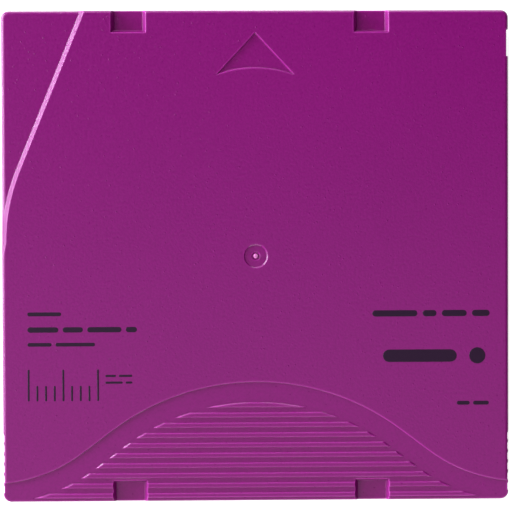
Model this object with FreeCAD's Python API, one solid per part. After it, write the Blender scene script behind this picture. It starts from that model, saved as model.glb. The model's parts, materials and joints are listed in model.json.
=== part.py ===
"""Half-inch single-reel linear data cartridge, in millimetres.

+Z is up through the thickness, +Y is the way the cartridge goes into a drive, and +X is the side
with the sliding access door. The origin is the middle of the bottom face. The reel turns about Z.
"""

import FreeCAD
import Part

import math
import os

V = FreeCAD.Vector

# Reel: two flanges on a hub, with the wound tape between them
flange_r = 48.6
flange_t = 1.0
tape_width = 12.65
tape_side_gap = 0.2
tape_margin = 2.1            # from the wound tape to the flange's rim
hub_r = 22.0
hub_wall = 1.3
hub_floor_t = 2.0
stiffener_t = 1.0            # metal ring pressed inside the hub

# Case walls and the room round the reel
wall = 1.5
plate = 1.7
reel_side_gap = 0.9          # flange rim to the front and rear walls
door_reel_gap = 1.2          # flange rim to the door
door_t = 1.2
door_wall_gap = 0.2
reel_lift = 1.4              # floor to the underside of the lower flange
reel_headroom = 1.65         # upper flange to the ceiling
seat_gap = 0.1               # running gap where flat faces meet

half_depth = flange_r + reel_side_gap + wall
half_width = flange_r + door_reel_gap + door_t + door_wall_gap + wall
tape_z0 = plate + reel_lift + flange_t + tape_side_gap
tape_z1 = tape_z0 + tape_width
flange_z = tape_z1 + tape_side_gap
ceiling = flange_z + flange_t + reel_headroom
height = ceiling + plate
parting = height / 2

# Outside form
rear_corner_r = 1.7
front_corner_r = 1.5
edge_r = 0.75
bottom_bevel = 0.6
parting_groove = 0.16
lip_t = 0.7                  # tongue of the lower shell inside the upper one
lip_h = 0.8
lip_gap = 0.05
lip_end = 2.0                # from the inner corner to the end of a tongue

guide_drop = 1.0             # insertion guide: lowered corner of the top, front left
guide_angle = 22.3
guide_arc_r = 40.0
guide_arc_y = 48.0           # from the front face back to where the arc meets the left side
guide_slope = 0.9
guide_run_out = 9.0

notch_w = 7.4                # gripping notches in the front and rear edges
notch_front = 4.6
notch_rear = 4.5
notch_depth = 1.3
notch_slope = 0.75           # lean of a notch's ends, and of its back
notch_back_slope = 0.55
notch_left = 26.3
notch_right = 24.1

arrow_inset = 4.55           # insertion arrow
arrow_half = 8.15
arrow_length = 8.8
arrow_bulge = 1.4
arrow_depth = 0.3
arrow_slope = 0.2

mark_r = 2.5                 # centre mark: a shallow disc with the moulding gate's pit and stub
mark_depth = 0.2
mark_slope = 0.25
gate_r = 0.9
gate_slope = 0.15
gate_depth = 0.35
stub_r = 0.6
stub_top_r = 0.35
stub_below = 0.05            # from the top face down to the stub's end

bell_rise = 24.95            # bell-shaped grip field at the rear of the top
bell_r = 50.0
bell_turn = 37.0
bell_flank = 7.5             # straight stretch between the convex arc and each concave one
bell_foot_r = 32.0
bell_depth = 0.25
bell_slope = 0.2
rib_field_inset = 4.3
rib_count = 10
rib_pitch = 2.09
rib_first = 20.0             # from the rear face forward to the first rib
rib_base = 1.15
rib_top = 0.8
rib_end_slope = 0.25

scallop_count = 6            # finger grips on both sides
scallop_pitch = 2.12
scallop_depth = 0.25
scallop_floor = 1.2
scallop_rear = 1.6

finger_y0 = 4.0              # shallow notch beside the door, from the front face back
finger_length = 5.6
finger_depth = 0.45

# Access door in the right side
port_front = 7.5             # from the front face back to the door opening
port_length = 20.5
door_cover = 1.0             # door beyond the opening at each end
door_travel = 21.5
groove_depth = 0.5
groove_side_gap = 0.15
finger_slot_h = 3.6
finger_slot_l = 3.0

# Door spring in the wall channel behind the door
door_spring_r = 0.55
door_spring_wire = 0.15
door_spring_coils = 14
door_spring_steps = 8
door_spring_length = 55.0
spring_stop_l = 2.0

# Leader pin
pin_inset_x = 7.4
pin_inset_y = 14.0
pin_head_r = 2.3
pin_head_t = 1.8
pin_shaft_r = 1.2
pocket_gap = 0.2
pocket_wall = 1.1
pocket_h = 2.1
clip_t = 0.65
clip_gap = 0.25
clip_mouth = 60.0
leader_t = 0.15
leader_gap = 0.3

# Flat spring that holds the pin's heads in their pockets
leaf_t = 0.3
leaf_spine = 2.6
leaf_arm_h = 1.9
leaf_tail = 1.9
leaf_flare = 0.7
leaf_holder_wall = 0.75

# Clutch teeth and metal plate under the hub
opening_gap = 1.2            # round the clutch teeth to the opening in the lower shell
rim_w = 2.5                  # seat under the hub round that opening, set back from its wall
rim_step = 0.4
tooth_count = 36
tooth_root = 1.9             # width of a clutch tooth where it leaves the hub, and at its tip
tooth_tip = 1.1
clutch_inset = 4.8           # from the hub's outside to the ring of clutch teeth
clutch_w = 3.0
clutch_h = 1.2
clutch_plate_inset = 1.4     # from the clutch teeth to the metal plate
clutch_plate_w = 7.5
clutch_plate_t = 0.8
stud_r = 1.1

# Brake and its release
brake_gap = 0.5              # round the brake inside the hub
brake_t = 1.4
brake_step = 3.0             # ledge with the locking teeth above the hub floor
lock_count = 24              # teeth on the ledge, and as many on the brake between them
lock_h = 1.0
lock_root = 2.3
lock_tip = 1.5
lock_gap = 0.25
ledge_w = 2.7
brake_travel = 2.5
brake_boss_r = 5.2
brake_boss_h = 5.9
brake_rim_w = 1.2
brake_rim_h = 1.0
brake_rib_t = 0.8
brake_rib_h = 0.8
guide_post_half = 3.2
guide_post_t = 1.2
guide_post_gap = 0.2
guide_post_cover = 3.3       # guide post inside the brake's socket at rest
brake_spring_r = 6.3
brake_spring_wire = 0.4
brake_spring_coils = 4
brake_spring_steps = 18
spring_root_h = 1.5          # wider root of the guide post, inside the brake spring's top
leg_count = 3
leg_length = 1.8
leg_width = 2.0
leg_gap = 0.3
release_t = 1.2
release_pad_r = 4.0
release_gap = 0.2

# Guard walls that close the corners round the reel
guard_gap = 1.3
guard_t = 1.0

# Screws, driven from below
screw_inset_left = 7.2
screw_inset_right = 5.7
screw_inset_front = 4.7
screw_inset_rear = 5.5
screw_inset_rear_left = 8.5
screw_boss_r = 2.4
screw_head_r = 1.8
screw_head_h = 1.3
screw_recess = 0.6
screw_r = 1.0
screw_length = 9.0
screw_gap = 0.05
drive_half = 0.9
drive_t = 0.35
drive_depth = 0.7

# Write-protect tab in the rear wall
window_inset = 5.5
window_w = 11.5
window_h = 6.7
tab_travel = 5.5
tab_t = 1.2
tab_gap = 0.15
tab_w = 12.0
tab_overlap = 1.8            # tab plate above and below its window
tab_end_gap = 0.4
button_gap = 0.3
button_recess = 0.3
button_ridges = 3
button_ridge_w = 0.5
button_ridge_h = 0.25
tab_rail = 1.1
tab_rail_cover = 1.6
tab_rib_t = 1.0

# Label recess in the rear wall
label_w = 79.0
label_h = 17.0
label_depth = 0.3
label_inset = 6.2

# Memory board, tilted in the rear right corner
board_inset = 16.0
board_w = 10.4
board_l = 8.0
board_t = 0.6
board_rise = 6.5
board_rib_t = 1.0
board_press = 3.0
chip_r = 1.9
chip_t = 0.5

# Datum holes in the bottom
datum_inset_x = 11.2
datum_inset_y = 12.5
datum_r = 1.5
datum_depth = 2.4
datum_roof = 0.9
datum_wall = 1.2
slot_inset_x = 17.0
slot_inset_y = 5.4
slot_length = 5.0

# Places worked out from the sizes
inner_x = half_width - wall
inner_y = half_depth - wall
door_x0 = flange_r + door_reel_gap
door_x1 = door_x0 + door_t
port_y1 = half_depth - port_front
port_y0 = port_y1 - port_length
pin_x = half_width - pin_inset_x
pin_y = half_depth - pin_inset_y
pin_z0 = plate + seat_gap
pin_z1 = ceiling - seat_gap
pack_r = flange_r - tape_margin
hub_z = plate + reel_lift
floor_z = hub_z + hub_floor_t
ledge_z = floor_z + brake_step
bore_r = hub_r - hub_wall
ledge_r1 = bore_r - stiffener_t
ledge_r0 = ledge_r1 - ledge_w
brake_r = ledge_r1 - brake_gap
brake_z = ledge_z + seat_gap
brake_top = brake_z + brake_t
guard_r = flange_r + guard_gap
clutch_r1 = hub_r - clutch_inset
clutch_r0 = clutch_r1 - clutch_w
leg_r = (clutch_r0 + clutch_r1) / 2
opening_r = clutch_r1 + opening_gap
clutch_plate_r1 = clutch_r0 - clutch_plate_inset
clutch_plate_r0 = clutch_plate_r1 - clutch_plate_w
stud_ring_r = (clutch_plate_r0 + clutch_plate_r1) / 2
window_x0 = -half_width + window_inset
window_x1 = window_x0 + window_w
window_z0 = parting - window_h / 2
window_z1 = parting + window_h / 2
tab_x0 = -inner_x + tab_travel + tab_end_gap
tab_y0 = -inner_y + tab_gap
tab_y1 = tab_y0 + tab_t
tab_z0 = window_z0 - tab_overlap
tab_z1 = window_z1 + tab_overlap
screws = [
    (-half_width + screw_inset_left, half_depth - screw_inset_front),
    (half_width - screw_inset_right, half_depth - screw_inset_front),
    (-half_width + screw_inset_left, -half_depth + screw_inset_rear_left),
    (half_width - screw_inset_right, -half_depth + screw_inset_rear),
]
far = 2 * half_width         # beyond the case on every side


# Helpers


def box(x0, x1, y0, y1, z0, z1):
    return Part.makeBox(x1 - x0, y1 - y0, z1 - z0, V(x0, y0, z0))


def cylinder(x, y, r, z0, z1):
    return Part.makeCylinder(r, z1 - z0, V(x, y, z0))


def ring(x, y, r0, r1, z0, z1):
    return cylinder(x, y, r1, z0, z1).cut(cylinder(x, y, r0, z0, z1))


def polygon(points):
    return Part.makePolygon([V(*p) for p in points] + [V(*points[0])])


def prism(points, direction):
    return Part.Face(polygon(points)).extrude(V(*direction))


def polar(r, degrees):
    return r * math.cos(math.radians(degrees)), r * math.sin(math.radians(degrees))


def arc(cx, cy, r, start, end, z):
    """Arc in a level plane from angle start to angle end, by its ends and its middle."""
    points = []
    for angle in (start, (start + end) / 2, end):
        x, y = polar(r, angle)
        points.append(V(cx + x, cy + y, z))
    return Part.Arc(*points).toShape()


def line(x0, y0, x1, y1, z):
    return Part.LineSegment(V(x0, y0, z), V(x1, y1, z)).toShape()


def turned(shape, count):
    """Copies of a shape at even steps round Z."""
    copies = []
    for k in range(count):
        copy = shape.copy()
        copy.rotate(V(0, 0, 0), V(0, 0, 1), k * 360 / count)
        copies.append(copy)
    return copies


def mirrored_x(shape):
    return shape.mirror(V(0, 0, 0), V(1, 0, 0))


def pocket(x0, x1, y0, y1, z_floor, z_mouth, lean_x, lean_y):
    """Rectangular recess tool whose walls lean outwards by lean_x and lean_y on the way to its mouth."""
    low = polygon([(x0 + lean_x, y0 + lean_y, z_floor), (x1 - lean_x, y0 + lean_y, z_floor),
                   (x1 - lean_x, y1 - lean_y, z_floor), (x0 + lean_x, y1 - lean_y, z_floor)])
    high = polygon([(x0, y0, z_mouth), (x1, y0, z_mouth), (x1, y1, z_mouth), (x0, y1, z_mouth)])
    return Part.makeLoft([low, high], True, True)


def radial_bars(count, r0, r1, width_low, width_high, z0, z1):
    """Bars of trapezoid section that lie along radii."""
    bar = prism([(r0, -width_low / 2, z0), (r0, width_low / 2, z0),
                 (r0, width_high / 2, z1), (r0, -width_high / 2, z1)], (r1 - r0, 0, 0))
    return turned(bar, count)


def coil(r, wire, length, turns, steps, sides):
    """Round-coiled spring along +Z from the origin: straight steps of wire, with a many-sided section."""
    sections = []
    for k in range(turns * steps + 1):
        z = wire + (length - 2 * wire) * k / (turns * steps)
        corners = []
        for side in range(sides):
            out, up = polar(wire, 360 * (side + 0.5) / sides)
            x, y = polar(r + out, 360 * k / steps)
            corners.append((x, y, z + up))
        sections.append(polygon(corners))
    return Part.makeLoft(sections, True, True)


# Case outline


def case_block(inset, z0, z1):
    """Block with the case's plan outline, moved in by inset; its corners are sharp inside the walls."""
    x = half_width - inset
    y = half_depth - inset
    rear = rear_corner_r - inset
    front = front_corner_r - inset
    if min(rear, front) <= 0:
        return box(-x, x, -y, y, z0, z1)
    edges = [
        line(-x + rear, -y, x - rear, -y, z0), arc(x - rear, -y + rear, rear, -90, 0, z0),
        line(x, -y + rear, x, y - front, z0), arc(x - front, y - front, front, 0, 90, z0),
        line(x - front, y, -x + front, y, z0), arc(-x + front, y - front, front, 90, 180, z0),
        line(-x, y - front, -x, -y + rear, z0), arc(-x + rear, -y + rear, rear, 180, 270, z0),
    ]
    return Part.Face(Part.Wire(edges)).extrude(V(0, 0, z1 - z0))


def rim_edges(block, z):
    """Edges of a block that lie in the level plane at z."""
    return [e for e in block.Edges if abs(e.BoundBox.ZMin - z) < 1e-6 and abs(e.BoundBox.ZMax - z) < 1e-6]


def rounded_block(z_top):
    """Upper half of the case outline with a rounded top edge."""
    block = case_block(0, parting, z_top)
    return block.makeFillet(edge_r, rim_edges(block, z_top))


def chamfered_block():
    """Lower half of the case outline with a bevelled bottom edge."""
    block = case_block(0, 0, parting)
    return block.makeChamfer(bottom_bevel, rim_edges(block, 0))


def case_frame(inset0, inset1, z0, z1):
    """Band between two insets of the case outline, the first one outside."""
    return case_block(inset0, z0, z1).cut(case_block(inset1, z0, z1))


def lip_runs(gap, z1):
    """Straight tongues along the four walls, grown by gap, that line the shells up."""
    x, y = inner_x + lip_t + gap, inner_y + lip_t + gap
    end_x, end_y = inner_x - lip_end + gap, inner_y - lip_end + gap
    front = box(-end_x, end_x, inner_y - gap, y, parting, z1)
    rear = box(-end_x, end_x, -y, -inner_y + gap, parting, z1)
    right = box(inner_x - gap, x, -end_y, end_y, parting, z1)
    left = box(-x, -inner_x + gap, -end_y, end_y, parting, z1)
    return [front, rear, right, left]


def guide_wire(inset, z):
    """Edge of the insertion guide: a straight run, an arc, and a run-out along the left side."""
    r = guide_arc_r - inset
    cx = -half_width + guide_arc_r
    cy = half_depth - guide_arc_y
    x0, y0 = cx - r, cy
    dx, dy = polar(r, 180 - guide_angle)
    x1, y1 = cx + dx, cy + dy
    y2 = half_depth + guide_arc_r / 4
    x2 = x1 + (y2 - y1) * math.tan(math.radians(guide_angle))
    run_x = x0 - guide_slope - edge_r
    return Part.Wire([
        line(run_x, y0 - guide_run_out, x0, y0, z), arc(cx, cy, r, 180, 180 - guide_angle, z),
        line(x1, y1, x2, y2, z), line(x2, y2, -far, y2, z), line(-far, y2, -far, y0 - guide_run_out, z),
        line(-far, y0 - guide_run_out, run_x, y0 - guide_run_out, z),
    ])


def guide_zone(inset, z0, z1):
    return Part.Face(guide_wire(inset, z0)).extrude(V(0, 0, z1 - z0))


def guide_cut():
    """Tool that lowers the guide corner, with a sloped wall."""
    extra = guide_drop
    lean = guide_slope / guide_drop
    low = guide_wire(-lean * extra, height - guide_drop - extra)
    high = guide_wire(guide_slope + lean * extra, height + extra)
    return Part.makeLoft([low, high], True, True)


def notch_places():
    """Plan ranges of the four gripping notches, each with room beyond the case's edge."""
    places = []
    for centre in (-notch_left, notch_right):
        x0, x1 = centre - notch_w / 2, centre + notch_w / 2
        places.append((x0, x1, half_depth - notch_front, half_depth + notch_w))
        places.append((x0, x1, -half_depth - notch_w, -half_depth + notch_rear))
    return places


def notch_cuts():
    return [pocket(*place, height - notch_depth, height + seat_gap, notch_slope, notch_back_slope)
            for place in notch_places()]


def notch_backs(z0, z1):
    """Thickened plate behind the notches."""
    return [box(x0 - wall, x1 + wall, y0 - wall, y1 + wall, z0, z1) for x0, x1, y0, y1 in notch_places()]


def scallops():
    """Cutters for the upright finger grips near the rear of both sides."""
    cuts = []
    for k in range(scallop_count):
        y0 = -half_depth + scallop_rear + k * scallop_pitch
        y1 = y0 + scallop_pitch
        x = half_width - scallop_depth
        flat = (scallop_pitch - scallop_floor) / 2
        outline = [(half_width, y0), (x, y0 + flat), (x, y1 - flat), (half_width, y1), (far, y1), (far, y0)]
        cut = prism([(*point, -plate) for point in outline], (0, 0, height + 2 * plate))
        cuts += [cut, mirrored_x(cut)]
    return cuts


def bell_wire(inset, z):
    """Bell curve across the rear of the top: a convex arc, straight flanks and concave feet."""
    cy = -half_depth + bell_rise - bell_r
    r, foot_r = bell_r - inset, bell_foot_r + inset
    out_x, out_y = polar(1, 90 - bell_turn)
    x1, y1 = r * out_x, cy + r * out_y
    x2, y2 = x1 + bell_flank * out_y, y1 - bell_flank * out_x
    sx, sy = x2 + foot_r * out_x, y2 + foot_r * out_y
    reach = math.degrees(math.acos(min(1.0, (sx - half_width - edge_r) / foot_r)))
    end_x, end_y = polar(foot_r, -180 + reach)
    y_rear = -half_depth - edge_r
    x3, y3 = sx + end_x, sy + end_y
    return Part.Wire([
        line(-x3, y_rear, -x3, y3, z),
        arc(-sx, sy, foot_r, -reach, -90 + bell_turn, z), line(-x2, y2, -x1, y1, z),
        arc(0, cy, r, 90 + bell_turn, 90 - bell_turn, z),
        line(x1, y1, x2, y2, z), arc(sx, sy, foot_r, 270 - bell_turn, 180 + reach, z),
        line(x3, y3, x3, y_rear, z), line(x3, y_rear, -x3, y_rear, z),
    ])


def centre_mark():
    """Cutter for the centre mark; the gate's stub stays in the middle of its pit."""
    z = height - mark_depth
    z_pit = height - gate_depth
    stub = Part.makeCone(stub_r, stub_top_r, gate_depth - stub_below, V(0, 0, z_pit))
    disc = Part.makeCone(mark_r - mark_slope, mark_r + mark_slope, 2 * mark_depth, V(0, 0, z))
    pit = Part.makeCone(gate_r - gate_slope, gate_r, z - z_pit, V(0, 0, z_pit))
    return disc.fuse(pit).cut(stub)


def arrow_wire(inset, z):
    """Insertion arrow's outline, moved in by inset: two straight sides over an arched base."""
    lean = math.atan2(arrow_half, arrow_length)
    bow_r = (arrow_half ** 2 + arrow_bulge ** 2) / (2 * arrow_bulge)
    cy = half_depth - arrow_inset - arrow_length + arrow_bulge - bow_r
    tip = half_depth - arrow_inset - inset / math.sin(lean)
    r = bow_r + inset
    rise = tip - cy
    side = rise * math.cos(lean) - math.sqrt(r ** 2 - (rise * math.sin(lean)) ** 2)
    x, y = side * math.sin(lean), tip - side * math.cos(lean)
    half = math.degrees(math.asin(x / r))
    return Part.Wire([arc(0, cy, r, 90 - half, 90 + half, z), line(-x, y, 0, tip, z), line(0, tip, x, y, z)])


def arrow_cut():
    low = arrow_wire(arrow_slope, height - arrow_depth)
    high = arrow_wire(-arrow_slope, height + arrow_depth)
    return Part.makeLoft([low, high], True, True)


def grip_ribs():
    """Ribs across the bell field, whose ends slope down along a bell curve of their own."""
    z0 = height - bell_depth
    bars = []
    for k in range(rib_count):
        y = -half_depth + rib_first - k * rib_pitch
        bars.append(prism([(-half_width, y - rib_base / 2, z0), (-half_width, y + rib_base / 2, z0),
                           (-half_width, y + rib_top / 2, height), (-half_width, y - rib_top / 2, height)],
                          (2 * half_width, 0, 0)))
    foot = bell_wire(rib_field_inset, z0)
    crest = bell_wire(rib_field_inset + rib_end_slope, height)
    field = Part.makeLoft([foot, crest], True, True)
    ribs = [bar.common(field).common(case_block(edge_r, z0, height)) for bar in bars]
    return [rib for rib in ribs if rib.Volume > 1e-3]


# Pieces shared by both shells


def door_port():
    return box(door_x1, far, port_y0, port_y1, plate, ceiling)


def finger_slot():
    """Slot through which a drive's finger reaches the door's front edge."""
    half = finger_slot_h / 2
    return box(door_x1, far, port_y1, port_y1 + finger_slot_l, parting - half, parting + half)


def door_groove(z0, z1):
    y0 = port_y0 - door_cover - door_travel - seat_gap
    y1 = port_y1 + door_cover + seat_gap
    return box(door_x0 - groove_side_gap, inner_x, y0, y1, z0, z1)


def finger_notch():
    y1 = half_depth - finger_y0
    return box(half_width - finger_depth, far, y1 - finger_length, y1, -plate, height + plate)


def label_cut():
    x1 = half_width - label_inset
    z0 = parting - label_h / 2
    return box(x1 - label_w, x1, -far, -half_depth + label_depth, z0, z0 + label_h)


def window_cut():
    return box(window_x0, window_x1, -far, -inner_y + seat_gap, window_z0, window_z1)


def outside_cuts():
    return [door_port(), finger_slot(), finger_notch(), label_cut(), window_cut()] + scallops()


def guard_walls(z0, z1):
    """Curved walls round the reel in three corners; the tape's corner stays open."""
    band = ring(0, 0, guard_r, guard_r + guard_t, z0, z1)
    channel_y = -math.sqrt((guard_r + guard_t) ** 2 - (door_x0 - groove_side_gap) ** 2)
    corners = [box(-inner_x, 0, 0, inner_y, z0, z1), box(-inner_x, 0, -inner_y, 0, z0, z1),
               box(0, door_x0 - groove_side_gap, -inner_y, channel_y, z0, z1)]
    return [band.common(corner) for corner in corners]


def pin_pocket(z0, z1):
    """Round-backed pocket that the pin's head leaves towards the door."""
    r = pin_head_r + pocket_gap
    cup = ring(pin_x, pin_y, r, r + pocket_wall, z0, z1)
    return cup.cut(box(pin_x, pin_x + 2 * r, pin_y - 2 * r, pin_y + 2 * r, z0, z1))


def leaf_x():
    return pin_x + pin_head_r + seat_gap


def leaf_y1():
    """Front end of the flat spring, at the screw boss beside it."""
    x, y = screws[1]
    reach = screw_boss_r ** 2 - (leaf_x() + leaf_t - x) ** 2
    return y - math.sqrt(max(reach, 0)) - seat_gap


def leaf_holder(z0, z1):
    """Two ribs with a slit between them for the flat spring's spine."""
    y1 = leaf_y1() - seat_gap
    y0 = y1 - leaf_spine + 2 * seat_gap
    x0 = leaf_x() - seat_gap / 2
    x1 = leaf_x() + leaf_t + seat_gap / 2
    return [box(x0 - leaf_holder_wall, x0, y0, y1, z0, z1), box(x1, x1 + leaf_holder_wall, y0, y1, z0, z1)]


def tab_rails(z_base, z_shelf, z_rail):
    """Back rail and shelf ribs that carry one edge of the write-protect tab."""
    y_rail = tab_y1 + tab_gap
    x_end = tab_x0 + tab_w + tab_rib_t
    low, high = min(z_base, z_rail), max(z_base, z_rail)
    parts = [box(-inner_x, x_end, y_rail, y_rail + tab_rail, low, high)]
    low, high = min(z_base, z_shelf), max(z_base, z_shelf)
    for x in (-inner_x, (x_end - inner_x) / 2, x_end - tab_rib_t):
        parts.append(box(x, x + tab_rib_t, -inner_y, y_rail, low, high))
    return parts


def board_line(offset):
    """Height at which the memory board's 45 degree plane, raised by offset, meets the rear wall."""
    return plate + board_rise + offset * math.sqrt(2)


def upper_shell():
    z_low = height - guide_drop
    shell = rounded_block(height).cut(guide_cut()).fuse(rounded_block(z_low))
    cavity = case_block(wall, parting, ceiling)
    thick = [guide_zone(guide_slope + wall, z_low - plate, height)]
    thick += notch_backs(height - notch_depth - wall, height)
    shell = shell.cut(cavity.cut(thick))
    inside = guide_post() + guard_walls(parting, ceiling) + [pin_pocket(ceiling - pocket_h, ceiling)]
    inside += leaf_holder(ceiling - pocket_h, ceiling)
    inside += tab_rails(ceiling, tab_z1 + seat_gap, tab_z1 - tab_rail_cover)
    inside += board_presses()
    inside += [cylinder(x, y, screw_boss_r, parting, ceiling) for x, y in screws]
    shell = shell.fuse([part.common(case_block(wall / 2, parting, ceiling)) for part in inside])
    z_field = height - bell_depth
    field = Part.makeLoft([bell_wire(bell_slope, z_field), bell_wire(0, height + seat_gap)], True, True)
    shell = shell.cut(field).fuse(grip_ribs())
    groove = case_frame(-wall, parting_groove, parting, parting + parting_groove)
    pilots = [cylinder(x, y, screw_r + screw_gap, parting, screw_top() + seat_gap) for x, y in screws]
    lips = lip_runs(lip_gap, parting + lip_h + seat_gap)
    door_run = door_groove(parting, ceiling + groove_depth)
    marks = notch_cuts() + [arrow_cut(), centre_mark()]
    return shell.cut(outside_cuts() + marks + pilots + lips + [groove, door_run])


def guide_post():
    """Cross-shaped post that keeps the brake from turning, with a wider root that centres its spring."""
    t = guide_post_t / 2
    tip_z = brake_top + brake_boss_h - guide_post_cover
    root_half = brake_spring_r - brake_spring_wire - guide_post_gap
    post = []
    for half, z0 in ((guide_post_half, tip_z), (root_half, ceiling - spring_root_h)):
        post += [box(-half, half, -t, t, z0, ceiling), box(-t, t, -half, half, z0, ceiling)]
    return post


def board_presses():
    """Ribs from the ceiling that hold the memory board on its slope."""
    y1 = -inner_y + board_press
    z0 = board_line(board_t + seat_gap)
    presses = []
    for x in board_rib_places():
        presses.append(prism([(x, -inner_y, ceiling), (x, y1, ceiling), (x, y1, z0 - board_press),
                              (x, -inner_y, z0)], (board_rib_t, 0, 0)))
    return presses


def board_rib_places():
    x = half_width - board_inset
    inset = board_rib_t
    return [x - board_w / 2 + inset, x + board_w / 2 - inset - board_rib_t]


def board_wedges():
    """Ribs of the lower shell that the memory board lies on."""
    wedges = []
    for x in board_rib_places():
        side = [(x, -inner_y, plate), (x, -inner_y + board_rise, plate), (x, -inner_y, plate + board_rise)]
        wedges.append(prism(side, (board_rib_t, 0, 0)))
    return wedges


def datum_places():
    x, y = -half_width + datum_inset_x, half_depth - datum_inset_y
    sx, sy = half_width - slot_inset_x, half_depth - slot_inset_y
    half = slot_length / 2 - datum_r
    return (x, y), [(sx - half, sy), (sx + half, sy)]


def stadium(ends, r, z0, z1):
    """Upright solid with a slot-shaped outline between two end centres on one line along X."""
    (x0, y), (x1, _) = ends
    return box(x0, x1, y - r, y + r, z0, z1).fuse([cylinder(x0, y, r, z0, z1), cylinder(x1, y, r, z0, z1)])


def spring_stop():
    """Rib at the rear end of the door spring's channel."""
    y1 = port_y0 - door_cover - door_spring_length - seat_gap
    return box(door_x0, inner_x, y1 - spring_stop_l, y1, plate, parting + 2 * door_spring_r)


def lower_shell():
    shell = chamfered_block()
    cavity = case_block(wall, plate, parting)
    shell = shell.cut(cavity.cut(notch_backs(0, notch_depth + wall)))
    (x, y), slot = datum_places()
    edge = datum_r + datum_wall
    roof = datum_depth + datum_roof
    inside = [box(x - edge, x + edge, y - edge, y + edge, plate, roof),
              box(slot[0][0] - edge, slot[1][0] + edge, slot[0][1] - edge, slot[0][1] + edge, plate, roof)]
    inside += [cylinder(0, 0, opening_r + rim_w, 0, hub_z - seat_gap), spring_stop()]
    inside += guard_walls(plate, parting) + [pin_pocket(plate, plate + pocket_h)]
    inside += leaf_holder(plate, plate + pocket_h)
    inside += tab_rails(plate, tab_z0 - seat_gap, tab_z0 + tab_rail_cover)
    inside += board_wedges() + [cylinder(x, y, screw_boss_r, plate, parting) for x, y in screws]
    shell = shell.fuse([part.common(case_block(wall / 2, 0, height)) for part in inside])
    shell = shell.fuse(lip_runs(0, parting + lip_h))
    cuts = [cylinder(0, 0, opening_r, -plate, hub_z), cylinder(0, 0, opening_r + rim_step, plate, hub_z),
            cylinder(x, y, datum_r, -plate, datum_depth), stadium(slot, datum_r, -plate, datum_depth),
            case_frame(-wall, parting_groove, parting - parting_groove, parting),
            door_groove(plate - groove_depth, parting)]
    for x, y in screws:
        cuts.append(cylinder(x, y, screw_head_r + screw_gap, -plate, screw_recess + screw_head_h))
        cuts.append(cylinder(x, y, screw_r + screw_gap, -plate, height))
    below = [cut.mirror(V(0, 0, parting), V(0, 0, 1)) for cut in notch_cuts()]
    return shell.cut(outside_cuts() + below + cuts)


# Moving door and its spring


def access_door():
    z0 = plate - groove_depth + seat_gap
    z1 = ceiling + groove_depth - seat_gap
    y0, y1 = port_y0 - door_cover, port_y1 + door_cover
    door = box(door_x0, door_x1, y0, y1, z0, z1)
    lead = [e for e in door.Edges if e.BoundBox.YMin > y1 - 1e-6 and e.BoundBox.XMin > door_x1 - 1e-6]
    return door.makeChamfer(door_t / 3, lead)


def door_spring():
    x = (door_x0 - groove_side_gap + inner_x) / 2
    y = port_y0 - door_cover - seat_gap / 2
    spring = coil(door_spring_r, door_spring_wire, door_spring_length,
                  door_spring_coils, door_spring_steps, 4)
    spring.rotate(V(0, 0, 0), V(1, 0, 0), 90)
    spring.translate(V(x, y, parting))
    return spring


# Reel


def reel_hub():
    body = cylinder(0, 0, hub_r, hub_z, flange_z).cut(
        [cylinder(0, 0, bore_r, ledge_z, flange_z), cylinder(0, 0, ledge_r1, ledge_z - lock_h, ledge_z),
         cylinder(0, 0, ledge_r0, floor_z, ledge_z)])
    flange = cylinder(0, 0, flange_r, hub_z, hub_z + flange_t)
    clutch = radial_bars(tooth_count, clutch_r0, clutch_r1, tooth_tip, tooth_root, hub_z - clutch_h, hub_z)
    lock_r0 = ledge_r0 + lock_gap
    lock = radial_bars(lock_count, lock_r0, ledge_r1, lock_root, lock_tip, ledge_z - lock_h, ledge_z)
    lock = [tooth.common(cylinder(0, 0, ledge_r1, 0, height)) for tooth in lock]
    body = body.fuse([flange] + clutch + lock + plate_studs())
    return body.cut(legs(leg_gap, hub_z - clutch_h, floor_z))


def plate_studs():
    """Studs of the hub on which the metal clutch plate is staked."""
    return [cylinder(*polar(stud_ring_r, 120 * k), stud_r, hub_z - clutch_plate_t, hub_z) for k in range(3)]


def legs(gap, z0, z1):
    r0, r1 = leg_r - leg_length / 2 - gap, leg_r + leg_length / 2 + gap
    half = leg_width / 2 + gap
    return turned(box(-half, half, r0, r1, z0, z1), leg_count)


def hub_stiffener():
    return ring(0, 0, ledge_r1, bore_r, ledge_z, flange_z - stiffener_t - spigot_h())


def spigot_h():
    """Depth of the upper flange's collar inside the hub."""
    return 2 * flange_t


def reel_upper_flange():
    disc = ring(0, 0, ledge_r1, flange_r, flange_z, flange_z + flange_t)
    return disc.fuse(ring(0, 0, ledge_r1, bore_r, flange_z - spigot_h(), flange_z))


def clutch_plate():
    return ring(0, 0, clutch_plate_r0, clutch_plate_r1, hub_z - clutch_plate_t, hub_z).cut(plate_studs())


def tape_pack():
    return ring(0, 0, hub_r, pack_r, tape_z0, tape_z1)


# Brake


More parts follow.
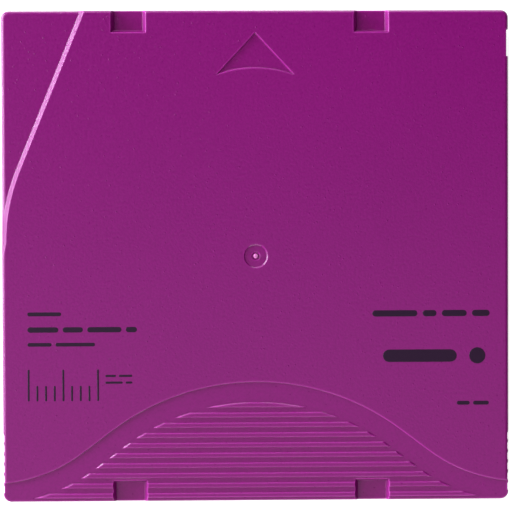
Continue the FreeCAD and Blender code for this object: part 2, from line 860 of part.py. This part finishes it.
def reel_brake():
    top = brake_top + brake_boss_h
    body = cylinder(0, 0, brake_r, brake_z, brake_top)
    rim = ring(0, 0, brake_r - brake_rim_w, brake_r, brake_top, brake_top + brake_rim_h)
    boss = cylinder(0, 0, brake_boss_r, brake_top, top)
    spring_r = brake_spring_r + brake_spring_wire + guide_post_gap
    ribs = turned(box(spring_r, brake_r - brake_rim_w / 2, -brake_rib_t / 2, brake_rib_t / 2,
                      brake_top, brake_top + brake_rib_h), 6)
    space = 2 * math.pi * ledge_r0 / lock_count
    root, tip = space - lock_tip - 2 * lock_gap, space - lock_root - 2 * lock_gap
    teeth = radial_bars(lock_count, ledge_r0 + brake_gap, brake_r - brake_gap / 2, tip, root,
                        brake_z - lock_h + lock_gap, brake_z)
    for tooth in teeth:
        tooth.rotate(V(0, 0, 0), V(0, 0, 1), 180 / lock_count)
    body = body.fuse([rim, boss] + ribs + teeth)
    half = guide_post_half + guide_post_gap
    t = guide_post_t / 2 + guide_post_gap
    z0 = top - guide_post_cover - brake_travel - guide_post_gap
    return body.cut([box(-half, half, -t, t, z0, top), box(-t, t, -half, half, z0, top)])


def brake_spring():
    length = ceiling - brake_top - seat_gap
    spring = coil(brake_spring_r, brake_spring_wire, length, brake_spring_coils, brake_spring_steps, 6)
    spring.translate(V(0, 0, brake_top + seat_gap / 2))
    return spring


def brake_release():
    """Three-legged spider: its feet stand in the clutch teeth and its pad lifts the brake."""
    z0 = floor_z + release_gap
    r = leg_r + leg_length / 2
    arms = turned(box(-leg_width / 2, leg_width / 2, 0, r, z0, z0 + release_t), leg_count)
    feet = legs(0, hub_z - clutch_h + release_gap, z0)
    pad = cylinder(0, 0, release_pad_r, z0, brake_z - seat_gap)
    return pad.fuse(arms + feet)


# Tape leader and its pin


def leader_angle():
    """Direction from both centres to where one straight run touches the wound tape and the pin."""
    d = math.hypot(pin_x, pin_y)
    r0 = pack_r + leader_gap + leader_t / 2
    r1 = pin_shaft_r + leader_t / 2
    return math.degrees(math.atan2(pin_y, pin_x) + math.acos((r0 - r1) / d)), r0, r1


def tape_leader():
    angle, r0, r1 = leader_angle()
    x0, y0 = polar(r0, angle)
    dx, dy = polar(r1, angle)
    run = math.hypot(pin_x + dx - x0, pin_y + dy - y0)
    strip = box(0, run, -leader_t / 2, leader_t / 2, tape_z0, tape_z1)
    strip.rotate(V(0, 0, 0), V(0, 0, 1), math.degrees(math.atan2(pin_y + dy - y0, pin_x + dx - x0)))
    strip.translate(V(x0, y0, 0))
    return strip


def leader_pin():
    shaft = cylinder(pin_x, pin_y, pin_shaft_r, pin_z0, pin_z1)
    heads = [cylinder(pin_x, pin_y, pin_head_r, pin_z0, pin_z0 + pin_head_t),
             cylinder(pin_x, pin_y, pin_head_r, pin_z1 - pin_head_t, pin_z1)]
    pin = shaft.fuse(heads)
    return pin.makeChamfer(pin_head_t / 5, rim_edges(pin, pin_z0) + rim_edges(pin, pin_z1))


def pin_clip():
    angle = leader_angle()[0]
    r0 = pin_shaft_r + clip_gap
    clip = ring(0, 0, r0, r0 + clip_t, tape_z0, tape_z1)
    reach = 2 * (r0 + clip_t)
    mouth = [(0, 0, tape_z0)] + [(*polar(reach, angle + 15 + clip_mouth * k), tape_z0) for k in (0, 1)]
    clip = clip.cut(prism(mouth, (0, 0, tape_width)))
    clip.translate(V(pin_x, pin_y, 0))
    return clip


def pin_spring():
    """Flat spring: an upright spine with two arms that bear on the pin's heads."""
    x0, x1 = leaf_x(), leaf_x() + leaf_t
    y1 = leaf_y1()
    y0 = y1 - leaf_spine
    y_head, y_tip = pin_y - leaf_tail / 2, pin_y - leaf_tail
    strip = prism([(x0, y1, pin_z0), (x1, y1, pin_z0), (x1, y_head, pin_z0), (x1 + leaf_flare, y_tip, pin_z0),
                   (x0 + leaf_flare, y_tip, pin_z0), (x0, y_head, pin_z0)], (0, 0, pin_z1 - pin_z0))
    return strip.cut(box(x0 - far, x1 + far, y_tip - far, y0, pin_z0 + leaf_arm_h, pin_z1 - leaf_arm_h))


# Write-protect tab, memory board, screws


def write_protect_tab():
    body = box(tab_x0, tab_x0 + tab_w, tab_y0, tab_y1, tab_z0, tab_z1)
    x1 = window_x1 - button_gap
    x0 = x1 - (window_w - tab_travel - 2 * button_gap)
    y0 = -half_depth + button_recess + button_ridge_h
    button = box(x0, x1, y0, tab_y0, window_z0 + button_gap, window_z1 - button_gap)
    ridges = []
    for k in range(button_ridges):
        x = x0 + (x1 - x0) * (k + 1) / (button_ridges + 1)
        ridges.append(box(x - button_ridge_w / 2, x + button_ridge_w / 2, y0 - button_ridge_h, y0,
                          window_z0 + 2 * button_gap, window_z1 - 2 * button_gap))
    return body.fuse([button] + ridges)


def on_board_slope(shape):
    """Lays a shape made flat at the origin, width along X and length along Y, on the board's slope."""
    shape.rotate(V(0, 0, 0), V(1, 0, 0), -45)
    middle = board_rise / 2
    shape.translate(V(half_width - board_inset, -inner_y + middle, plate + middle))
    return shape


def memory_board():
    return on_board_slope(box(-board_w / 2, board_w / 2, -board_l / 2, board_l / 2, 0, board_t))


def memory_chip():
    return on_board_slope(cylinder(0, 0, chip_r, board_t, board_t + chip_t))


def screw_top():
    return screw_recess + screw_head_h + screw_length


def case_screws():
    made = []
    for x, y in screws:
        z = screw_recess + screw_head_h
        screw = cylinder(x, y, screw_head_r, screw_recess, z).fuse(cylinder(x, y, screw_r, z, screw_top()))
        cross = [box(x - drive_half, x + drive_half, y - drive_t / 2, y + drive_t / 2,
                     screw_recess, screw_recess + drive_depth),
                 box(x - drive_t / 2, x + drive_t / 2, y - drive_half, y + drive_half,
                     screw_recess, screw_recess + drive_depth)]
        made.append(screw.cut(cross))
    return Part.makeCompound(made)


PARTS = {
    "upper_shell": upper_shell, "lower_shell": lower_shell, "access_door": access_door,
    "door_spring": door_spring, "reel_hub": reel_hub, "hub_stiffener_ring": hub_stiffener,
    "reel_upper_flange": reel_upper_flange, "clutch_plate": clutch_plate, "tape_pack": tape_pack,
    "reel_brake": reel_brake, "brake_spring": brake_spring, "brake_release": brake_release,
    "tape_leader": tape_leader, "leader_pin": leader_pin, "pin_clip": pin_clip,
    "pin_retainer_spring": pin_spring, "write_protect_tab": write_protect_tab,
    "memory_board": memory_board, "memory_chip": memory_chip, "case_screws": case_screws,
}

os.makedirs("parts", exist_ok=True)
for name, make in PARTS.items():
    make().exportStep("parts/" + name + ".step")
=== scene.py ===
"""Looks of the half-inch data tape cartridge: materials, printed marks, camera and light.

Lengths are metres in the frame's own axes: +Z up, +Y the way into a drive, +X the door side.
"""

import json
import math

import bmesh
import bpy
from mathutils import Matrix, Vector


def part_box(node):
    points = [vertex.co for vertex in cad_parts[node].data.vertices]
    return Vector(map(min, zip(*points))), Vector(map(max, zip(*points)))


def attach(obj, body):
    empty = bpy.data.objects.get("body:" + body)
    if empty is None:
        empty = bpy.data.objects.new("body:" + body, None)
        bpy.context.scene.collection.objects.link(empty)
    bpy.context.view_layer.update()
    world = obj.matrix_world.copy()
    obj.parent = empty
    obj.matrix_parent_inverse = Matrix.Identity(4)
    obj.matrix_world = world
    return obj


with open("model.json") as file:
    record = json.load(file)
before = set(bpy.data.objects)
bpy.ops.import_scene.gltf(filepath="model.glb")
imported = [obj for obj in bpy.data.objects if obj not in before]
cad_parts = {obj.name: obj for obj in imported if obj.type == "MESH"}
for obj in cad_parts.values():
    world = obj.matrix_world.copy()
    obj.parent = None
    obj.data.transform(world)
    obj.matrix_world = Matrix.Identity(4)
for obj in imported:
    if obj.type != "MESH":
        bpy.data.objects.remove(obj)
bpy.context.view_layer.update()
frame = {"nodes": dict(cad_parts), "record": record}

MM = 0.001
top_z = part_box("upper_shell")[1][2]


# Materials

DRIFT = 0.02                    # slow change of colour across a face, in cells per millimetre
PIT_TONE = 0.88                 # brightness of the pits between the grains
GRAIN_GLOSS = 0.06              # how far the roughness swings with the grain
HOLLOW_REACH = 0.5              # painted shade: in the shell's hollows, out to this many millimetres,
HOLLOW_SHADE_TONE = 0.8               # the colour is this much darker, where less light would reach
EDGE_HIGHLIGHT_REACH = 0.38               # painted highlight: along its convex edges, out to this many millimetres,
EDGE_HIGHLIGHT_SHARE = 0.9                      # this much of the paler highlight colour shows
SPECKS_PER_MM = 0.8
SPECK_RADIUS = 0.16             # as a share of the specks' cells
SPECK_CHOICE = 0.4              # cells with a random value above this one have a speck


class Graph:
    """Short way to add and link shader nodes in one material."""

    def __init__(self, name):
        self.material = bpy.data.materials.new(name)
        self.material.use_nodes = True
        self.tree = self.material.node_tree
        self.shader = self.tree.nodes["Principled BSDF"]

    def node(self, kind, **values):
        made = self.tree.nodes.new(kind)
        for key, value in values.items():
            setattr(made, key, value)
        return made

    def link(self, source, target):
        self.tree.links.new(source, target)

    def set(self, **values):
        for key, value in values.items():
            self.shader.inputs[key.replace("_", " ")].default_value = value

    def noise(self, scale, detail, stretch=(1, 1, 1)):
        """Noise in the piece's own space, with scale in cells per millimetre."""
        place = self.node("ShaderNodeTexCoord")
        mapping = self.node("ShaderNodeMapping")
        mapping.inputs["Scale"].default_value = [scale / MM * s for s in stretch]
        texture = self.node("ShaderNodeTexNoise")
        texture.inputs["Scale"].default_value = 1.0
        texture.inputs["Detail"].default_value = detail
        self.link(place.outputs["Object"], mapping.inputs["Vector"])
        self.link(mapping.outputs["Vector"], texture.inputs["Vector"])
        return texture.outputs["Fac"]

    def specks(self):
        """Height of small round domes, one in some of the cells of a random grid."""
        place = self.node("ShaderNodeTexCoord")
        texture = self.node("ShaderNodeTexVoronoi")
        texture.inputs["Scale"].default_value = SPECKS_PER_MM / MM
        self.link(place.outputs["Object"], texture.inputs["Vector"])
        dome = self.ramp(texture.outputs["Distance"], [(0.0, grey(1)), (SPECK_RADIUS, grey(0))])
        stops = [(SPECK_CHOICE, grey(0)), (SPECK_CHOICE + 0.02, grey(1))]
        return self.mix(1.0, dome, self.ramp(texture.outputs["Color"], stops), "MULTIPLY")

    def ramp(self, source, stops):
        """Colour ramp over source, from its stops of place and colour."""
        ramp = self.node("ShaderNodeValToRGB")
        elements = ramp.color_ramp.elements
        while len(elements) < len(stops):
            elements.new(0.5)
        for element, (place, colour) in zip(elements, stops):
            element.position = place
            element.color = (*colour, 1)
        self.link(source, ramp.inputs["Fac"])
        return ramp.outputs["Color"]

    def span(self, source, low, high):
        """The 0 to 1 value in source, mapped to low to high."""
        span = self.node("ShaderNodeMapRange")
        span.inputs["To Min"].default_value = low
        span.inputs["To Max"].default_value = high
        self.link(source, span.inputs["Value"])
        return span.outputs["Result"]

    def bump(self, height, strength, distance, under):
        """Normal under, tilted by the height."""
        bump = self.node("ShaderNodeBump")
        bump.inputs["Strength"].default_value = strength
        bump.inputs["Distance"].default_value = distance
        self.link(height, bump.inputs["Height"])
        self.link(under, bump.inputs["Normal"])
        return bump.outputs["Normal"]

    def soft_edges(self, radius):
        """Normal that rounds the edges."""
        bevel = self.node("ShaderNodeBevel", samples=6)
        bevel.inputs["Radius"].default_value = radius
        return bevel.outputs["Normal"]

    def near(self, distance, inside):
        """1 on plain faces, lower within distance of a hollow, or of a convex edge where inside is true."""
        seen = self.node("ShaderNodeAmbientOcclusion", samples=8, inside=inside, only_local=True)
        seen.inputs["Distance"].default_value = distance
        return seen.outputs["AO"]

    def mix(self, factor, under, over, blend="MIX"):
        """Colour over laid on colour under, where factor, a socket or a number, is high."""
        mix = self.node("ShaderNodeMix", data_type="RGBA", blend_type=blend)
        for key, value in (("Factor_Float", factor), ("A_Color", under), ("B_Color", over)):
            socket = next(i for i in mix.inputs if i.identifier == key)
            if isinstance(value, bpy.types.NodeSocket):
                self.link(value, socket)
            else:
                socket.default_value = value
        return next(o for o in mix.outputs if o.identifier == "Result_Color")


def grey(level):
    return (level, level, level)


def shade(base, change):
    return tuple(max(0.0, c * (1 + change)) for c in base)


def moulded(name, colour, rough, grain=2.0, edge=0.12, depth=0.02, variation=0.06, specular=0.5,
            specks=0.0, edge_highlight=None):
    """Moulded plastic: eroded grain, drift of colour and soft edges; with a highlight colour given, also
    painted highlights on convex edges and painted shade in hollows.

    grain is in cells per millimetre, and edge, depth and specks are in millimetres.
    """
    g = Graph(name)
    g.set(Metallic=0.0, Specular_IOR_Level=specular)
    drift = g.noise(DRIFT, 3.0)
    fine = g.noise(grain, 3.0)
    tone = g.ramp(drift, [(0.3, shade(colour, -variation)), (0.7, shade(colour, variation))])
    pits = g.ramp(fine, [(0.35, grey(PIT_TONE)), (0.65, grey(1))])
    tone = g.mix(1.0, tone, pits, "MULTIPLY")
    if edge_highlight:
        # painted shade: the colour darkens near hollows, where less light reaches
        hollow = g.ramp(g.near(HOLLOW_REACH * MM, False), [(0.3, grey(HOLLOW_SHADE_TONE)), (0.8, grey(1))])
        # painted highlight: convex edges turn towards the paler highlight colour given, where they would
        # catch the light
        edges = g.ramp(g.near(EDGE_HIGHLIGHT_REACH * MM, True), [(0.76, grey(EDGE_HIGHLIGHT_SHARE)), (0.97, grey(0))])
        tone = g.mix(1.0, tone, hollow, "MULTIPLY")
        tone = g.mix(edges, tone, (*edge_highlight, 1))
    g.link(tone, g.shader.inputs["Base Color"])
    g.link(g.span(fine, rough - GRAIN_GLOSS, rough + GRAIN_GLOSS), g.shader.inputs["Roughness"])
    normal = g.bump(fine, 1.0, depth * MM, g.soft_edges(edge * MM))
    if specks:
        normal = g.bump(g.specks(), 1.0, specks * MM, normal)
    g.link(normal, g.shader.inputs["Normal"])
    return g.material


def metal(name, colour, rough, stretch=(1, 1, 1)):
    """Bare metal with fine drawn or turned lines."""
    g = Graph(name)
    g.set(Metallic=1.0)
    lines = g.noise(3.0, 4.0, stretch)
    tone = g.ramp(lines, [(0.3, shade(colour, -0.12)), (0.75, shade(colour, 0.06))])
    g.link(tone, g.shader.inputs["Base Color"])
    g.link(g.span(lines, rough - 0.08, rough + 0.1), g.shader.inputs["Roughness"])
    g.link(g.bump(lines, 0.5, 0.004 * MM, g.soft_edges(0.06 * MM)), g.shader.inputs["Normal"])
    return g.material


SHELL = (0.268, 0.001, 0.188)
SHELL_GRAIN = {"grain": 1.9, "depth": 0.03}
# the shell's grain, gloss and specks, and the colour of its painted edge highlight
SHELL_SURFACE_AND_HIGHLIGHT = {"edge": 0.22, "variation": 0.02, "specular": 0.62, "specks": 0.045,
              "edge_highlight": (0.50, 0.03, 0.38)}
SMOOTH = {"grain": 1.2, "depth": 0.004}
POLISHED = {"grain": 1.2, "depth": 0.003}
FILM = {"grain": 0.6, "depth": 0.002}
PLASTICS = {
    "shell_plastic": dict(colour=SHELL, rough=0.30, **SHELL_GRAIN, **SHELL_SURFACE_AND_HIGHLIGHT),
    "door_plastic": dict(colour=shade(SHELL, -0.05), rough=0.42, **SHELL_GRAIN),
    "reel_plastic": dict(colour=(0.60, 0.60, 0.57), rough=0.4, **SMOOTH),
    "flange_plastic": dict(colour=(0.64, 0.64, 0.62), rough=0.25, **POLISHED),
    "brake_plastic": dict(colour=(0.55, 0.54, 0.50), rough=0.4, **SMOOTH),
    "release_plastic": dict(colour=(0.02, 0.02, 0.021), rough=0.4, **SMOOTH),
    "tab_plastic": dict(colour=(0.50, 0.06, 0.02), rough=0.4, grain=1.5, depth=0.008),
    "clip_plastic": dict(colour=(0.7, 0.7, 0.68), rough=0.35, **POLISHED),
    "tape_film": dict(colour=(0.018, 0.012, 0.009), rough=0.22, **FILM),
    "leader_film": dict(colour=(0.025, 0.025, 0.03), rough=0.25, **FILM),
    "board_laminate": dict(colour=(0.015, 0.14, 0.05), rough=0.3, grain=3.0, depth=0.006),
    "chip_resin": dict(colour=(0.008, 0.008, 0.008), rough=0.35, depth=0.006),
}
METALS = {
    "pin_steel": dict(colour=(0.62, 0.62, 0.60), rough=0.22, stretch=(1, 1, 6)),
    "spring_steel": dict(colour=(0.45, 0.45, 0.45), rough=0.3),
    "plate_steel": dict(colour=(0.56, 0.56, 0.55), rough=0.3, stretch=(0.2, 1.5, 1)),
    "ring_aluminium": dict(colour=(0.76, 0.76, 0.77), rough=0.3, stretch=(1, 1, 8)),
    "screw_steel": dict(colour=(0.36, 0.36, 0.37), rough=0.3),
}
materials = {name: moulded(name, **values) for name, values in PLASTICS.items()}
materials.update({name: metal(name, **values) for name, values in METALS.items()})
slots = {part["node"]: part["material_slot"] for part in frame["record"]["subparts"]}
for node, piece in frame["nodes"].items():
    piece.data.materials.clear()
    piece.data.materials.append(materials[slots[node]])


# Printed marks and the moulding gate's stub, in millimetres

CORNER_STEPS = 4
SAME_POINT = 0.0001             # corners that meet share a point
FILM_STEPS = ((0.0, 0.001), (0.0, 0.014), (0.02, 0.02))     # inset and height of a printed film's outlines
PRINT_LEFT = -47.5
SCALE_PITCH = 1.8
SCALE_LINES = 9
STUB_RADIUS = 0.45
STUB_RISE = 0.09
STUB_FOOT = 0.1                 # depth of its foot under the top face
STUB_RINGS = 6
STUB_SIDES = 28
STUB_WAVES = ((3, 0.05), (5, 0.03))     # lobes round its torn edge, and their share of its radius


def outline(x, y, width, depth, corner):
    """Points of a rectangle with rounded corners, from its lower left corner."""
    points = []
    for k, (sx, sy) in enumerate(((1, 1), (0, 1), (0, 0), (1, 0))):
        cx = x + corner + sx * (width - 2 * corner)
        cy = y + corner + sy * (depth - 2 * corner)
        for step in range(CORNER_STEPS + 1):
            turn = math.radians(90 * (k + step / CORNER_STEPS))
            points.append((cx + corner * math.cos(turn), cy + corner * math.sin(turn)))
    return [point for k, point in enumerate(points) if math.dist(point, points[k - 1]) > SAME_POINT]


def printed(mesh, x, y, width, depth):
    """One raised film of ink with round ends on the top face."""
    corner = min(width, depth) / 2
    rings = []
    for inset, z in FILM_STEPS:
        ring = outline(x + inset, y + inset, width - 2 * inset, depth - 2 * inset, corner - inset)
        rings.append([mesh.verts.new((px * MM, py * MM, top_z + z * MM)) for px, py in ring])
    mesh.faces.new(rings[-1])
    mesh.faces.new(rings[0][::-1])
    for under, over in zip(rings, rings[1:]):
        for k in range(len(under)):
            n = (k + 1) % len(under)
            mesh.faces.new((under[k], under[n], over[n], over[k]))


def words(mesh, x, y, height, gap, lengths):
    """A row of bars, which stands for a line of print."""
    for length in lengths:
        printed(mesh, x, y, length, height)
        x += length + gap


def finished(name, mesh, material):
    """Make an object of the case from mesh."""
    bmesh.ops.recalc_face_normals(mesh, faces=mesh.faces)
    data = bpy.data.meshes.new(name)
    mesh.to_mesh(data)
    mesh.free()
    data.materials.append(material)
    made = bpy.data.objects.new(name, data)
    bpy.context.scene.collection.objects.link(made)
    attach(made, "case")
    return made


def printed_marks():
    """Plain bars, dots and a graduated scale where such a cartridge carries its print."""
    mesh = bmesh.new()
    printed(mesh, PRINT_LEFT, -12.3, 7.0, 0.8)
    words(mesh, PRINT_LEFT, -15.7, 1.1, 0.9, (6.4, 4.2, 7.1, 2.3))
    words(mesh, PRINT_LEFT, -18.6, 0.75, 0.8, (5.0, 8.2))
    for k in range(SCALE_LINES):
        printed(mesh, PRINT_LEFT + SCALE_PITCH * k, -30.0, 0.38, 3.2 if k % 4 else 6.6)
    words(mesh, -31.4, -25.0, 0.45, 0.6, (2.2, 2.8))
    words(mesh, -31.4, -26.4, 0.45, 0.6, (3.6, 1.4))
    words(mesh, 24.2, -12.7, 1.3, 1.1, (9.4, 2.9, 5.2, 3.7))
    printed(mesh, 26.4, -22.2, 15.4, 2.6)
    printed(mesh, 44.4, -22.6, 3.4, 3.4)
    words(mesh, 41.8, -31.2, 0.8, 0.7, (2.7, 3.3))
    ink = moulded("mark_ink", (0.022, 0.003, 0.026), 0.5, grain=3.0, depth=0.003, specular=0.3)
    finished("printed_marks", mesh, ink)


def gate_stub():
    """Torn end of the moulding gate: a low pale dome."""
    mesh = bmesh.new()
    base = top_z - STUB_FOOT * MM
    crown = mesh.verts.new((0, 0, base + STUB_RISE * MM))
    last = None
    for k in range(1, STUB_RINGS + 1):
        turn = math.radians(90 * k / STUB_RINGS)
        z = base + STUB_RISE * MM * math.cos(turn)
        ring = []
        for n in range(STUB_SIDES):
            side = math.tau * n / STUB_SIDES
            wave = 1 + sum(share * math.sin(lobes * side) for lobes, share in STUB_WAVES)
            r = STUB_RADIUS * MM * math.sin(turn) * wave
            ring.append(mesh.verts.new((r * math.cos(side), r * math.sin(side), z)))
        for n in range(STUB_SIDES):
            m = (n + 1) % STUB_SIDES
            inner = (crown,) if last is None else (last[m], last[n])
            mesh.faces.new((ring[n], ring[m], *inner))
        last = ring
    mesh.faces.new(last[::-1])
    # the stub is coloured much paler than the shell
    pale = moulded("pale_gate_plastic", (0.80, 0.24, 0.62), 0.3, grain=5.0, depth=0.01, edge=0.03)
    made = finished("gate_stub", mesh, pale)
    for face in made.data.polygons:
        face.use_smooth = True


printed_marks()
gate_stub()


# Floor, camera and lights

FLOOR_REACH = 3.0               # half of its side
FLOOR_DROP = 0.02 * MM          # keeps it off the cartridge's bottom face
FLOOR_GLOW = 0.75               # shown over the light that falls on it


def plain_floor():
    """White floor that keeps a faint shadow, shows white in gloss and is clear from below."""
    mesh = bpy.data.meshes.new("floor")
    signs = ((-1, -1), (1, -1), (1, 1), (-1, 1))
    mesh.from_pydata([(x * FLOOR_REACH, y * FLOOR_REACH, 0) for x, y in signs], [], [(0, 1, 2, 3)])
    floor = bpy.data.objects.new("floor", mesh)
    floor.location.z = -FLOOR_DROP
    bpy.context.scene.collection.objects.link(floor)
    g = Graph("floor_white")
    g.set(Base_Color=(0.8, 0.8, 0.8, 1), Roughness=0.9, Specular_IOR_Level=0.1)
    glow = g.node("ShaderNodeEmission")
    glow.inputs["Strength"].default_value = FLOOR_GLOW
    lit = g.node("ShaderNodeAddShader")
    g.link(g.shader.outputs["BSDF"], lit.inputs[0])
    g.link(glow.outputs["Emission"], lit.inputs[1])
    rays = g.node("ShaderNodeLightPath")
    seen = g.node("ShaderNodeMath", operation="MAXIMUM")
    shown = g.node("ShaderNodeMath", operation="MAXIMUM")
    g.link(rays.outputs["Is Camera Ray"], seen.inputs[0])
    g.link(rays.outputs["Is Glossy Ray"], seen.inputs[1])
    g.link(seen.outputs["Value"], shown.inputs[0])
    g.link(rays.outputs["Is Transmission Ray"], shown.inputs[1])
    above = g.node("ShaderNodeMixShader")
    g.link(shown.outputs["Value"], above.inputs["Fac"])
    g.link(g.shader.outputs["BSDF"], above.inputs[1])
    g.link(lit.outputs["Shader"], above.inputs[2])
    sides = g.node("ShaderNodeMixShader")
    g.link(g.node("ShaderNodeNewGeometry").outputs["Backfacing"], sides.inputs["Fac"])
    g.link(above.outputs["Shader"], sides.inputs[1])
    g.link(g.node("ShaderNodeBsdfTransparent").outputs["BSDF"], sides.inputs[2])
    g.link(sides.outputs["Shader"], g.tree.nodes["Material Output"].inputs["Surface"])
    floor.data.materials.append(g.material)


def camera(distance, lean_front, lean_left, roll, field, aim):
    """Camera over the top face, off the vertical by two angles in degrees, that frames field metres there."""
    data = bpy.data.cameras.new("camera")
    data.sensor_width = 36.0
    data.lens = data.sensor_width * distance / field
    data.clip_start = 0.01
    made = bpy.data.objects.new("camera", data)
    tip = Matrix.Rotation(math.radians(-lean_front), 4, "X")
    tilt = Matrix.Rotation(math.radians(-lean_left), 4, "Y")
    spin = Matrix.Rotation(math.radians(roll), 4, "Z")
    target = Matrix.Translation((*aim, top_z))
    made.matrix_world = target @ tip @ tilt @ spin @ Matrix.Translation((0, 0, distance))
    bpy.context.scene.collection.objects.link(made)
    bpy.context.scene.camera = made


def softbox(name, azimuth, elevation, distance, size, radiance, colour=(1, 1, 1)):
    """Evenly lit rectangle that faces the object, with its azimuth in degrees from +X towards +Y."""
    data = bpy.data.lights.new(name, "AREA")
    data.shape = "RECTANGLE"
    data.size, data.size_y = size
    data.energy = radiance * math.pi * size[0] * size[1]
    data.color = colour
    made = bpy.data.objects.new(name, data)
    a = math.radians(azimuth)
    e = math.radians(elevation)
    made.location = distance * Vector((math.cos(e) * math.cos(a), math.cos(e) * math.sin(a), math.sin(e)))
    made.rotation_euler = (-made.location).to_track_quat("-Z", "Y").to_euler()
    bpy.context.scene.collection.objects.link(made)


def studio(walls, ceiling, start, end):
    """World that is white to the camera, and lights the object with walls that fade into a ceiling.

    walls and ceiling are radiances, and the fade runs between the elevations start and end, in degrees.
    """
    made = bpy.data.worlds.new("studio")
    bpy.context.scene.world = made
    made.use_nodes = True
    tree = made.node_tree
    place = tree.nodes.new("ShaderNodeTexCoord")
    split = tree.nodes.new("ShaderNodeSeparateXYZ")
    fade = tree.nodes.new("ShaderNodeMapRange")
    fade.interpolation_type = "SMOOTHSTEP"
    fade.inputs["From Min"].default_value = math.sin(math.radians(start))
    fade.inputs["From Max"].default_value = math.sin(math.radians(end))
    fade.inputs["To Min"].default_value = walls
    fade.inputs["To Max"].default_value = ceiling
    rays = tree.nodes.new("ShaderNodeLightPath")
    shown = tree.nodes.new("ShaderNodeMath")
    shown.operation = "MAXIMUM"
    back = tree.nodes["Background"]
    back.inputs["Color"].default_value = (1, 1, 1, 1)
    tree.links.new(place.outputs["Generated"], split.inputs["Vector"])
    tree.links.new(split.outputs["Z"], fade.inputs["Value"])
    tree.links.new(fade.outputs["Result"], shown.inputs[0])
    tree.links.new(rays.outputs["Is Camera Ray"], shown.inputs[1])
    tree.links.new(shown.outputs["Value"], back.inputs["Strength"])


plain_floor()
camera(distance=0.4, lean_front=1.3, lean_left=1.2, roll=-0.25, field=106.0 * MM,
       aim=(-0.18 * MM, 0.23 * MM))
softbox("side_strip", 159, 9, 1.3, (1.2, 0.38), 20.0, (0.93, 0.99, 1.12))
softbox("side_panel", 168, 40, 1.3, (1.8, 1.05), 2.7)
softbox("front_panel", 92, 12, 1.3, (1.3, 0.5), 3.4)
softbox("rear_panel", 275, 20, 1.3, (1.4, 0.6), 3.0)
softbox("overhead_panel", 270, 70, 1.07, (0.9, 0.76), 0.6)
studio(walls=0.058, ceiling=0.001, start=35, end=65)
bpy.context.scene.view_settings.view_transform = "Standard"
